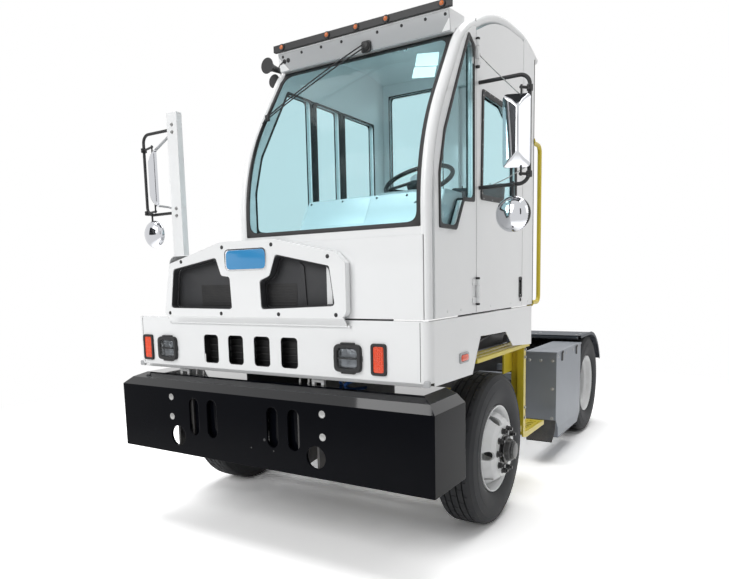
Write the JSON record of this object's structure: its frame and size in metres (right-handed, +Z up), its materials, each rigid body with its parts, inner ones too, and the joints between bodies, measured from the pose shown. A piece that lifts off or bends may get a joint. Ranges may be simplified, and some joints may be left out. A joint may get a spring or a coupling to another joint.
{
  "type": "terminal tractor",
  "caption": "Yard truck with an offset tilting cab, a lifting fifth wheel, steered front wheels and dual rear wheels.",
  "frame": {"origin": "on the ground under the middle of the overall box", "axes": "+X to the vehicle's left, +Y to its rear, +Z up"},
  "size_m": [2.924, 5.15, 3.3716],
  "materials": {
    "frame_paint": "satin black",
    "bumper_paint": "gloss black",
    "cab_paint": "gloss white",
    "grille_paint": "gloss white",
    "hood_paint": "gloss white",
    "door_paint": "gloss white",
    "clear_glass": "clear",
    "lamp_lens": "clear lens",
    "amber_lamps": "amber lens",
    "black_trim": "matt",
    "machinery": "satin",
    "cast_parts": "matt",
    "tread_rubber": "matt",
    "wheel_paint": "satin white",
    "hub_paint": "satin black",
    "step_yellow": "satin yellow",
    "box_metal": "brushed",
    "tank_metal": "brushed",
    "fender_plastic": "matt",
    "plate_steel": "greased steel",
    "boom_paint": "satin black",
    "rod_chrome": "polished",
    "dash_plastic": "grained grey",
    "seat_cloth": "woven dark grey",
    "mirror_metal": "polished"
  },
  "bodies": {
    "chassis": {"frame_rails": "frame_paint", "crossmembers": "frame_paint", "front_bumper": "bumper_paint", "front_panel": "cab_paint", "front_lamps": "lamp_lens", "front_fenders": "cab_paint", "engine_hood": "hood_paint", "radiator": "machinery", "engine_block": "machinery", "front_axle": "cast_parts", "leaf_springs": "cast_parts", "rear_axle": "cast_parts", "rear_fenders": "fender_plastic", "side_box": "box_metal", "fuel_tank": "tank_metal", "deck_plate": "frame_paint", "cab_steps": "step_yellow", "mirror_post": "cab_paint", "right_mirror": "mirror_metal", "exhaust": "plate_steel"},
    "cab": {"cab_frame": "cab_paint", "cab_floor": "cab_paint", "cab_roof": "cab_paint", "cab_left_wall": "cab_paint", "cab_right_wall": "cab_paint", "cab_rear_wall": "cab_paint", "cab_glass": "clear_glass", "marker_bar": "amber_lamps", "grille_frame": "grille_paint", "dashboard": "dash_plastic", "steering_wheel": "black_trim", "driver_seat": "seat_cloth", "handrail": "step_yellow", "air_horns": "black_trim"},
    "left_door": {"left_door": "door_paint", "left_door_glass": "clear_glass", "left_mirror": "mirror_metal", "door_handle": "black_trim"},
    "rear_door": {"rear_door": "door_paint", "rear_door_glass": "clear_glass"},
    "left_knuckle": {"left_knuckle": "cast_parts"},
    "right_knuckle": {"right_knuckle": "cast_parts"},
    "tie_rod": {"tie_rod": "cast_parts"},
    "left_front_wheel": {"left_front_wheel": "wheel_paint", "left_front_tyre": "tread_rubber", "left_front_hub": "hub_paint"},
    "right_front_wheel": {"right_front_wheel": "wheel_paint", "right_front_tyre": "tread_rubber", "right_front_hub": "hub_paint"},
    "left_rear_wheels": {"left_rear_wheels": "wheel_paint", "left_rear_tyres": "tread_rubber", "left_rear_hub": "hub_paint"},
    "right_rear_wheels": {"right_rear_wheels": "wheel_paint", "right_rear_tyres": "tread_rubber", "right_rear_hub": "hub_paint"},
    "lift_boom": {"lift_boom": "boom_paint"},
    "fifth_wheel": {"fifth_wheel": "plate_steel"},
    "lift_barrels": {"lift_barrels": "boom_paint"},
    "lift_rods": {"lift_rods": "rod_chrome"}
  },
  "joints": [
    {"name": "cab_tilt", "type": "hinge", "parent": "chassis", "child": "cab", "pos_m": [0.5, -2.478, 1.446], "axis": [1, 0, 0], "range_deg": [0, 45]},
    {"name": "left_door_hinge", "type": "hinge", "parent": "cab", "child": "left_door", "pos_m": [1.156, -1.825, 2.3], "axis": [0, 0, -1], "range_deg": [0, 80]},
    {"name": "rear_door_slide", "type": "slide", "parent": "cab", "child": "rear_door", "axis": [-1, 0, 0], "range_m": [0, 0.58]},
    {"name": "left_steer", "type": "hinge", "parent": "chassis", "child": "left_knuckle", "pos_m": [0.809, -1.337, 0.524], "axis": [0, 0, 1], "range_deg": [-36, 36]},
    {"name": "right_steer", "type": "hinge", "parent": "chassis", "child": "right_knuckle", "pos_m": [-1.021, -1.337, 0.524], "axis": [0, 0, 1], "range_deg": [-36, 36]},
    {"name": "tie_rod_ball", "type": "hinge", "parent": "left_knuckle", "child": "tie_rod", "pos_m": [0.809, -1.147, 0.416], "axis": [0, 0, 1], "range_deg": [-36, 36]},
    {"name": "left_front_roll", "type": "hinge", "parent": "left_knuckle", "child": "left_front_wheel", "pos_m": [0.987, -1.337, 0.524], "axis": [1, 0, 0], "continuous": true},
    {"name": "right_front_roll", "type": "hinge", "parent": "right_knuckle", "child": "right_front_wheel", "pos_m": [-1.199, -1.337, 0.524], "axis": [1, 0, 0], "continuous": true},
    {"name": "left_rear_roll", "type": "hinge", "parent": "chassis", "child": "left_rear_wheels", "pos_m": [0.774, 1.609, 0.524], "axis": [1, 0, 0], "continuous": true},
    {"name": "right_rear_roll", "type": "hinge", "parent": "chassis", "child": "right_rear_wheels", "pos_m": [-0.986, 1.609, 0.524], "axis": [1, 0, 0], "continuous": true},
    {"name": "boom_lift", "type": "hinge", "parent": "chassis", "child": "lift_boom", "pos_m": [-0.106, 0.109, 0.88], "axis": [1, 0, 0], "range_deg": [0, 18]},
    {"name": "fifth_wheel_pitch", "type": "hinge", "parent": "lift_boom", "child": "fifth_wheel", "pos_m": [-0.106, 1.489, 1.092], "axis": [1, 0, 0], "range_deg": [-12, 12]},
    {"name": "barrel_swing", "type": "hinge", "parent": "chassis", "child": "lift_barrels", "pos_m": [-0.106, 0.309, 0.61], "axis": [1, 0, 0], "range_deg": [0, 18.5]},
    {"name": "rod_slide", "type": "slide", "parent": "lift_barrels", "child": "lift_rods", "axis": [0, 0.8972, 0.4417], "range_m": [0, 0.106]}
  ],
  "couplings": [
    {"joint": "right_steer", "follows": "left_steer", "ratio": 1},
    {"joint": "tie_rod_ball", "follows": "left_steer", "ratio": -1},
    {"joint": "barrel_swing", "follows": "boom_lift", "ratio": 1.02},
    {"joint": "rod_slide", "follows": "boom_lift", "m_per_rad": 0.3335}
  ]
}
